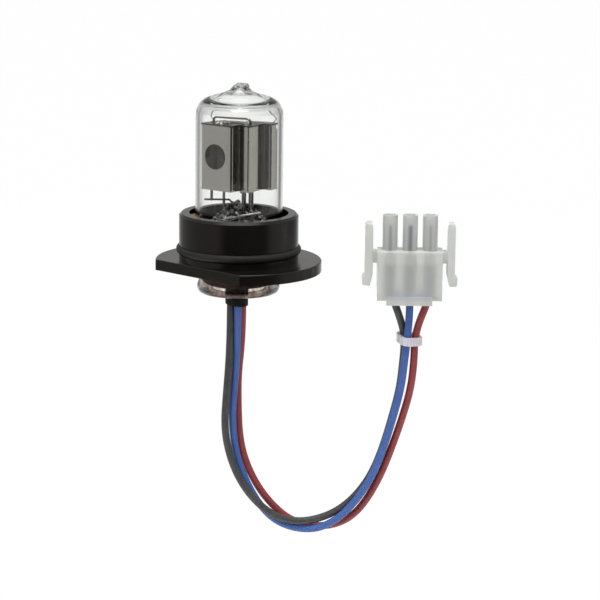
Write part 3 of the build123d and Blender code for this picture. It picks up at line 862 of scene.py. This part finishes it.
@dataclass
class Envelope(Assembly):
    """Blown glass bulb with its fused tip, sealed rim and stem. Sizes are in millimetres."""

    around: int = 144
    outline_steps: int = 4
    wafer_radius: float = 8.3
    wafer_top: float = 12.0
    wafer_rings: int = 22
    tip_start: float = 53.2
    tip_blend: float = 2.2
    tip_lean: float = 0.45
    tip_roughness: float = 0.6
    tip_offset: Point = (3.1, 7.7, 1.3)
    tip_grain: float = 0.75
    tip_fine_grain: float = 2.0
    tip_fine_share: float = 0.4
    tip_height_share: float = 0.7
    tip_limit: float = 56.4
    molten_from: float = 53.9
    outer: tuple[Range, ...] = (
        (0, 56.1), (0.9, 56.2), (1.7, 56.0), (2.2, 55.5), (2.5, 54.9), (2.95, 54.4), (3.6, 53.85),
        (4.5, 53.4), (5.8, 52.9), (7.6, 52.4), (9.6, 51.8), (11.4, 51.0), (12.65, 49.9),
        (13.4, 48.6), (13.75, 47.1), (13.87, 45.7), (13.9, 44.5), (13.9, 43.5), (13.9, 30.0),
        (13.9, 15.0), (13.9, 7.6), (13.9, 6.6), (13.5, 4.0), (12.6, 2.1), (11.95, 0.7),
        (11.8, -0.8), (11.8, -4.2), (12.1, -5.7), (12.75, -7.0), (13.12, -8.1), (13.1, -9.1),
        (12.7, -10.0), (11.9, -10.5), (11.0, -10.5), (10.1, -10.1), (9.5, -9.2), (8.8, -7.5),
        (8.15, -5.9), (7.9, -4.2), (7.9, 5.0), (7.9, 9.2), (7.5, 9.5), (4.0, 9.5), (0, 9.5),
    )
    inner: tuple[Range, ...] = (
        (0, 54.2), (0.5, 53.9), (0.9, 53.4), (1.6, 52.8), (2.8, 52.25), (4.3, 51.75), (6.0, 51.05),
        (7.4, 50.35), (8.3, 49.85), (8.9, 49.65), (9.5, 49.75), (10.5, 49.5), (11.5, 48.8),
        (12.15, 47.6), (12.5, 46.4), (12.6, 45.2), (12.6, 44.2), (12.6, 43.2), (12.6, 25.0),
        (12.6, 8.0), (12.6, 6.8), (12.2, 4.6), (11.1, 2.5), (10.6, 1.2), (10.5, -0.6), (10.5, -4.8),
        (10.3, -5.7), (9.85, -6.1), (9.4, -5.7), (9.2, -4.8), (9.2, 0.0), (9.2, 10.8), (8.95, 11.6),
        (8.3, 12.0),
    )

    def skin(self) -> Mesh:
        """Make the whole glass body, outside and inside, as one mesh."""
        outside = smooth_outline(self.outer, self.outline_steps)
        inside = smooth_outline(self.inner, self.outline_steps)
        inside += [(self.wafer_radius * (1 - step / self.wafer_rings), self.wafer_top)
                   for step in range(1, self.wafer_rings + 1)]
        form = bmesh.new()
        form.from_mesh(revolve(inside, self.around))
        bmesh.ops.reverse_faces(form, faces=form.faces)
        form.from_mesh(revolve(outside, self.around))
        return finish_form("bulb glass", form)

    def melt_tip(self, mesh: Mesh) -> None:
        """Lean and crumple the fused tip."""
        for vertex in mesh.vertices:
            place = vertex.co / MM
            share = min(1.0, max(0.0, (place.z - self.tip_start) / self.tip_blend))
            if share <= 0:
                continue
            crumple = noise.noise_vector(place * self.tip_grain + Vector(self.tip_offset))
            finer = noise.noise_vector(place * self.tip_fine_grain)
            shift = crumple * self.tip_roughness + finer * self.tip_fine_share * self.tip_roughness
            shift.x += self.tip_lean
            shift.z = min(shift.z * self.tip_height_share, self.tip_limit - place.z)
            vertex.co = (place + shift * share) * MM

    def build(self, nodes: dict, palette: Palette) -> None:
        """Make the bulb in place of its solid."""
        mesh = self.skin()
        self.melt_tip(mesh)
        bulb = add_mesh("glass_bulb", mesh)
        palette.dress(bulb, BULB_GLASS)
        mesh.materials.append(palette.material(TIP_GLASS))
        for polygon in mesh.polygons:
            polygon.material_index = int(polygon.center.z > self.molten_from * MM)
        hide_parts("bulb")


@dataclass(frozen=True)
class Crumbs:
    """One kind of crumb on the stem. Sizes are in millimetres.

    The crumbs lie at the given places, or else heaped up in the middle by count and rise.
    """

    name: str
    finish: Finish
    slot: str
    sizes: Range
    detail: int
    count: int = 0
    rise: float = 0.0
    places: tuple[Point, ...] = ()


@dataclass
class StemClutter(Assembly):
    """Crumbs of molten glass and metal round the leads on the stem. Sizes are in millimetres."""

    seed: int = 11
    radius: float = 8.4
    base: float = 12.0
    peak: float = 1.15
    turn: float = 6.28
    stretch: tuple[Range, ...] = ((0.6, 1.5), (0.6, 1.3), (0.5, 1.2))
    lump_grain: float = 1.3
    lump_share: float = 0.55
    kinds: tuple[Crumbs, ...] = (
        Crumbs("glass_crumbs", TIP_GLASS, "bulb_glass", (0.5, 1.1), 3, count=70, rise=3.2),
        Crumbs("metal_crumbs", CRUMB_METAL, "lead_metal", (0.22, 0.7), 2, count=190, rise=6.0),
        Crumbs("copper_crumbs", CRUMB_COPPER, "lead_metal", (0.4, 0.65), 2, places=(
            (-3.6, -0.6, 16.9), (-2.9, -0.2, 17.3), (-2.2, 0.1, 16.8), (-4.3, -0.3, 16.3),
            (-1.5, -0.5, 16.4),
        )),
    )

    def crumb(self, form: BMesh, place: Point, size: float, detail: int) -> None:
        """Add one irregular crumb.

        Args:
            form: the mesh that takes it.
            place: its middle.
            size: its radius.
            detail: how often its faces are divided.
        """
        angle = random.uniform(0, self.turn)
        axis = Vector((random.random(), random.random(), 1)).normalized()
        stretch = Matrix.Diagonal((*(random.uniform(*ends) for ends in self.stretch), 1))
        matrix = Matrix.Translation(place) @ Matrix.Rotation(angle, 4, axis) @ stretch
        made = bmesh.ops.create_icosphere(form, subdivisions=detail, radius=size, matrix=matrix)
        for vertex in made["verts"]:
            lump = noise.noise_vector(vertex.co * (self.lump_grain / size))
            vertex.co += lump * size * self.lump_share

    def heap(self, count: int, rise: float) -> list[Point]:
        """Pick places heaped up towards the middle of the stem."""
        places = []
        while len(places) < count:
            x, y = random.uniform(-1, 1), random.uniform(-1, 1)
            reach = math.hypot(x, y)
            if reach > 1:
                continue
            height = self.base + rise * random.random() * (self.peak - reach ** 2)
            places.append((x * self.radius, y * self.radius, height))
        return places

    def build(self, nodes: dict, palette: Palette) -> None:
        """Make one piece of each kind of crumb."""
        random.seed(self.seed)
        for kind in self.kinds:
            form = bmesh.new()
            for place in kind.places or self.heap(kind.count, kind.rise):
                self.crumb(form, place, random.uniform(*kind.sizes), kind.detail)
            piece = add_lumps(kind.name, form)
            palette.dress(piece, kind.finish)


@dataclass
class ElectrodeHousing(Assembly):
    """Folded nickel housing with its electrodes, leads and springs. Sizes are in millimetres."""

    finishes: dict[Finish, str] = field(default_factory=lambda: {
        NICKEL: "window_shield side_cover rear_cover bottom_plate cathode_baffle",
        # The top plate's darker nickel is a painted dark reflection.
        DARK_REFLECTION_NICKEL: "top_plate",
        CERAMIC: "divider_wall lead_bushings",
        MOLYBDENUM: "aperture_disc anode_plate cathode_coil",
        LEAD_METAL: "anode_lead lower_cathode_lead upper_cathode_lead front_post rear_post "
                    "spare_pin short_pin",
        SPRING_METAL: "brace_wire top_hoop left_spring right_spring",
    })
    bead_shares: tuple[float, ...] = (0.16, 0.22, 0.3, 0.42)
    bead_size: float = 0.75
    bead_grain: float = 1.4
    bead_roughness: float = 0.7
    bead_rise: float = 0.9
    strand_radius: float = 0.27
    strand_turns: float = 6.0
    strand_steps: int = 72
    strand_wire: float = 0.46
    strand_detail: int = 3
    strand_start: Point = (0.5, -1.3, 2.1)
    strand_end: Point = (-0.1, -0.5, -0.5)
    strand_feet: Range = (0.12, -0.12)

    def twist(self, palette: Palette) -> None:
        """Twist two wires round each other in place of the plain strand.

        Args:
            palette: hands out the finishes.
        """
        low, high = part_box("twisted_strand")
        start = Vector((low.x, high.y, low.z)) + metres(self.strand_start)
        end = high + metres(self.strand_end)
        along = (end - start).normalized()
        side = along.orthogonal().normalized()
        other = along.cross(side)
        for number, foot_shift in enumerate(self.strand_feet):
            route = [(start.x / MM, start.y / MM + foot_shift, low.z / MM)]
            for step in range(self.strand_steps + 1):
                share = step / self.strand_steps
                angle = 2 * math.pi * self.strand_turns * share + math.pi * number
                swing = (side * math.cos(angle) + other * math.sin(angle)) * self.strand_radius * MM
                route.append(tuple((start.lerp(end, share) + swing) / MM))
            wire = wire_curve(f"twisted_wire_{number + 1}", route, self.strand_wire * MM,
                              self.strand_detail)
            palette.dress(wire, BRIGHT_WIRE)
            if number == 0:
                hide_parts("twisted_strand")

    def weld(self, palette: Palette) -> None:
        """Drop weld beads on the top plate along the hoop's line.

        Args:
            palette: hands out the finishes.
        """
        left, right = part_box("top_hoop")
        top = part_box("top_plate")[1].z / MM
        form = bmesh.new()
        for share in self.bead_shares:
            place = left.lerp(right, share) / MM
            made = bmesh.ops.create_icosphere(form, subdivisions=3, radius=self.bead_size)
            for vertex in made["verts"]:
                lump = 1 + self.bead_roughness * noise.noise(vertex.co * self.bead_grain + place)
                x, y, z = vertex.co
                vertex.co = Vector((x * lump, y * lump, abs(z) * self.bead_rise * lump))
                vertex.co += Vector((place.x, place.y, top))
        beads = add_lumps("weld_beads", form)
        palette.dress(beads, SPRING_METAL)

    def build(self, nodes: dict, palette: Palette) -> None:
        """Dress the housing, drop the beads and twist the strand."""
        super().build(nodes, palette)
        self.weld(palette)
        self.twist(palette)


@dataclass(frozen=True)
class Wire:
    """One insulated wire. Its length is in metres, its route in millimetres."""

    colour: str
    skin: Finish
    length: float
    carried: tuple[str, ...]
    route: tuple[Point, ...]


@dataclass
class Lead(Assembly):
    """Three insulated wires from the sleeve to the connector. The diameter is in metres."""

    finishes: dict[Finish, str] = field(default_factory=lambda: {
        SLEEVE: "shrink_sleeve", TIE_NYLON: "cable_tie",
    })
    diameter: float = 0.0024
    wires: tuple[Wire, ...] = (
        Wire("black", BLACK_SKIN, 0.1929, ("left_contact",), (
            (-2.4, 0.1, -5.4), (-2.4, 0.1, -17), (-2.6, -1.3, -30.8), (-3.5, -1.5, -43.5),
            (-4.2, -1.5, -54.3), (-2.7, -1.8, -63.6), (0.8, -2, -72.4), (6.1, -2, -79.7),
            (12.7, -1.8, -84.8), (20.1, -0.8, -86.7), (27.6, 0.5, -85.6), (33.9, 1.1, -82.5),
            (39.2, 1.5, -77.5), (43.5, 1.5, -71), (46.8, 1.4, -62.5), (49.6, 1.4, -52.4),
            (52.1, 1.4, -42.2), (52.9, 1.3, -33.5), (53.3, 1.25, -28), (52.95, 1.2, -22.8),
            (51.4, 0.9, -17.9), (49.4, 0.3, -12.6), (48.05, 0, -7.4), (48.05, 0, -2.5),
        )),
        Wire("blue", BLUE_SKIN, 0.1947, ("middle_contact", "plug_housing", "cable_tie"), (
            (0, -1.45, -5.4), (0, -1.45, -17), (-0.3, 0.1, -30.9), (-1.2, 0.4, -43.1),
            (-1.8, 0.4, -54), (-0.2, 0.5, -65.3), (3, 0.5, -73.9), (7.3, 0.5, -81.4),
            (12.4, 0.6, -86.7), (19, 0.3, -89.2), (26.3, -0.5, -89.1), (32.9, -1.1, -85.4),
            (38.7, -1.3, -79.1), (43.8, -1.3, -70.8), (47.1, -1.3, -61.7), (49.9, -1.3, -51.8),
            (52.4, -1.3, -41.7), (53.3, -1.25, -33.3), (54, -1.2, -26), (54.8, -0.6, -16.5),
            (54.4, 0, -9.4), (54.4, 0, -2.5),
        )),
        Wire("red", RED_SKIN, 0.1958, ("right_contact",), (
            (1.4, 0.6, -5.4), (1.4, 0.6, -16.5), (1.1, 2.05, -27.9), (0, 2.95, -38.7),
            (0.1, 2.85, -49.5), (0.6, 2.6, -59.3), (2.6, 2.6, -67.6), (6.5, 2.7, -75.7),
            (11.4, 2.8, -82.1), (17.2, 2.9, -87.1), (24.4, 2.9, -89.2), (31.8, 2.6, -88.6),
            (37.9, 2.1, -85.1), (42.5, 1.6, -79), (46.7, 1, -70.6), (50.2, 0.8, -60.8),
            (53.4, 0.6, -50.7), (55.7, 0.4, -41.5), (56.5, 0.15, -32.4), (56.5, 0.1, -25.5),
            (57.9, 0, -19.6), (60.3, 0, -13.8), (60.75, 0, -8), (60.75, 0, -2.5),
        )),
    )

    def build(self, nodes: dict, palette: Palette) -> None:
        """Draw the wires and dress what lies on them."""
        super().build(nodes, palette)
        for wire in self.wires:
            piece = wire_curve(f"{wire.colour}_lead", wire.route, self.diameter)
            palette.dress(piece, wire.skin)
            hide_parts(f"{wire.colour}_wire")


# Studio


@dataclass(frozen=True)
class SoftLamp:
    """One soft round lamp that no mirror image shows outside the glass. Sizes are in metres."""

    name: str
    place: Point
    size: float
    power: float
    through_glass: bool = False
    aim: Point = (0.02, 0.0, -0.02)

    def hang(self) -> None:
        """Hang the lamp and turn it to its aim."""
        light = bpy.data.lights.new(self.name, "AREA")
        light.shape = "DISK"
        light.size = self.size
        light.energy = self.power
        piece = place_object(self.name, light)
        piece.location = self.place
        piece.rotation_mode = "QUATERNION"
        towards = Vector(self.aim) - Vector(self.place)
        piece.rotation_quaternion = towards.to_track_quat("-Z", "Y")
        piece.visible_glossy = False
        piece.visible_transmission = self.through_glass


@dataclass
class Studio:
    """Pale floor, backdrop, soft surroundings, lamps and the camera. Sizes are in metres.

    The horizon gives the light round the lamp: degrees from the camera's side, and a grey level.
    Each level above and below it goes with the heights between which it fades in.
    """

    floor_height: float = -0.2
    floor_half_width: float = 0.6
    floor_front: float = -0.4
    floor_back: float = 1.6
    wall_top: float = 1.0
    bend: float = 0.35
    bend_steps: int = 12
    ground_colours: tuple[Colour, Colour] = ((0.84, 0.84, 0.84), (0.86, 0.86, 0.86))
    ground_grain: float = 60.0
    ground_roughness: float = 0.9
    ground_glow: float = 0.97
    outside_loss: float = 0.5
    aside_fade: Range = (0.31, 0.51)
    above_fade: Range = (-0.05, 0.3)
    horizon: tuple[Range, ...] = (
        (-180, 0.9), (-163, 0.7), (-148, 0.35), (-120, 0.323), (-38, 0.38), (-24, 0.015),
        (54, 0.015), (67, 0.46), (108, 0.46), (124, 0.2), (150, 0.25), (163, 0.7), (180, 0.9),
    )
    levels: tuple[tuple[float, Range], ...] = (
        (0.5, (0.12, 0.6)), (2.6, (0.9, 0.96)), (0.6, (-0.3, -0.8)),
    )
    clear_light: float = 0.9
    clear_fade: Range = (0.2, 0.1)
    lamps: tuple[SoftLamp, ...] = (
        SoftLamp("top light", (0.0, -0.3, 1.1), 0.7, 13.0, through_glass=True),
        SoftLamp("front fill left", (-0.8, -1.1, 0.6), 0.8, 7.5),
        SoftLamp("front fill right", (0.9, -1.1, 0.45), 0.8, 8.0),
    )
    camera_distance: float = 0.85
    camera_elevation: float = 12.2
    camera_roll: float = 0.7
    camera_target: Point = (0.019686, 0.0, -0.013172)
    camera_lens: float = 159.876
    camera_sensor: float = 36.0
    camera_clip: float = 0.01

    def white(self, name: str) -> Material:
        """Make the pale ground that shows as white, and keeps a faint shadow."""
        material, tree, shader = new_material(name)
        grain = grained(tree, self.ground_grain)
        tree.feed(shader, {
            "Base Color": tree.mix(grain, *self.ground_colours),
            "Roughness": self.ground_roughness,
            "Specular IOR Level": 0.0,
        })
        path = tree.add("LightPath").outputs
        mirrored = tree.math("MAXIMUM", path["Is Glossy Ray"], path["Is Transmission Ray"])
        seen = tree.math("MAXIMUM", path["Is Camera Ray"], mirrored)
        x, _, z = tree.axes(tree.add("NewGeometry").outputs["Position"])
        aside = tree.spread(tree.math("ABSOLUTE", x), self.aside_fade)
        outside = tree.math("MAXIMUM", aside, tree.spread(z, self.above_fade))
        unseen = tree.math("SUBTRACT", 1.0, path["Is Camera Ray"])
        strength = tree.math("SUBTRACT", 1.0, tree.product(outside, self.outside_loss, unseen))
        glow = tree.add("Emission", {0: WHITE, 1: strength})
        share = tree.product(seen, self.ground_glow)
        mixed = tree.add("MixShader", {0: share, 1: shader.outputs[0], 2: glow.outputs[0]})
        tree.feed(material.node_tree.nodes["Material Output"], {0: mixed.outputs[0]})
        return material

    def ground(self) -> None:
        """Lay the floor and sweep it up into the backdrop."""
        bend_start = self.floor_back - self.bend
        line = [(self.floor_front, self.floor_height), (bend_start, self.floor_height)]
        for step in range(1, self.bend_steps + 1):
            angle = math.pi / 2 * step / self.bend_steps
            line.append((bend_start + self.bend * math.sin(angle),
                         self.floor_height + self.bend * (1 - math.cos(angle))))
        line.append((self.floor_back, self.wall_top))
        form = bmesh.new()
        left, right = ([form.verts.new((side * self.floor_half_width, y, z)) for y, z in line]
                       for side in (-1, 1))
        for step in range(len(line) - 1):
            form.faces.new((left[step], right[step], right[step + 1], left[step + 1]))
        mesh = finish_form("floor", form)
        mesh.materials.append(self.white("pale floor"))
        place_object("floor", mesh)

    def surroundings(self) -> None:
        """Fill the room: white behind the lamp, soft light at both sides, dark in front of it."""
        world = bpy.data.worlds.new("studio")
        bpy.context.scene.world = world
        world.use_nodes = True
        tree = Tree(world.node_tree)
        x, y, z = tree.axes(tree.add("TexCoord").outputs["Generated"])
        around = tree.math("ARCTAN2", x, tree.product(y, -1.0))
        place = tree.math("ADD", tree.math("DIVIDE", around, 2 * math.pi), 0.5)
        stops = [(degrees / 360 + 0.5, (level,) * 3) for degrees, level in self.horizon]
        light = tree.ramp(place, stops)
        for level, heights in self.levels:
            light = tree.mix(tree.spread(z, heights), light, (level,) * 3)
        path = tree.add("LightPath").outputs
        off_front = tree.math("ABSOLUTE", tree.math("SUBTRACT", place, 0.5))
        ahead = tree.spread(off_front, self.clear_fade)
        turns = tree.math("ADD", path["Glossy Depth"], path["Diffuse Depth"])
        straight = tree.math("LESS_THAN", turns, 0.5)
        through = tree.product(path["Is Transmission Ray"], straight, ahead)
        light = tree.mix(through, light, (self.clear_light,) * 3)
        light = tree.mix(path["Is Camera Ray"], light, WHITE)
        tree.feed(world.node_tree.nodes["Background"], {0: light})

    def camera(self) -> None:
        """Set the camera where the photograph was taken from."""
        data = bpy.data.cameras.new("camera")
        data.lens = self.camera_lens
        data.sensor_width = self.camera_sensor
        data.clip_start = self.camera_clip
        piece = place_object("camera", data)
        tilt = math.radians(self.camera_elevation)
        back = Vector((0.0, -math.cos(tilt), math.sin(tilt)))
        piece.location = Vector(self.camera_target) + back * self.camera_distance
        piece.rotation_mode = "QUATERNION"
        roll = Quaternion(back, math.radians(self.camera_roll))
        piece.rotation_quaternion = roll @ (-back).to_track_quat("-Z", "Y")
        bpy.context.scene.camera = piece

    def build(self) -> None:
        """Set up the whole studio."""
        self.ground()
        self.surroundings()
        for lamp in self.lamps:
            lamp.hang()
        self.camera()
        bpy.context.scene.view_settings.view_transform = "Standard"


def main() -> None:
    """Build and dress every sub-assembly in order."""
    logging.basicConfig(level=logging.INFO, format="%(name)s: %(message)s")
    noise.seed_set(NOISE_SEED)
    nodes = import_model()["nodes"]
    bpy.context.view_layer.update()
    palette = Palette()
    Studio().build()
    log.info("studio ready")
    for assembly in (Lead(), Connector(), Base(), Envelope(), StemClutter(), ElectrodeHousing()):
        assembly.build(nodes, palette)
        log.info("%s ready", type(assembly).__name__)
    bpy.context.view_layer.update()


if __name__ == "__main__":
    main()
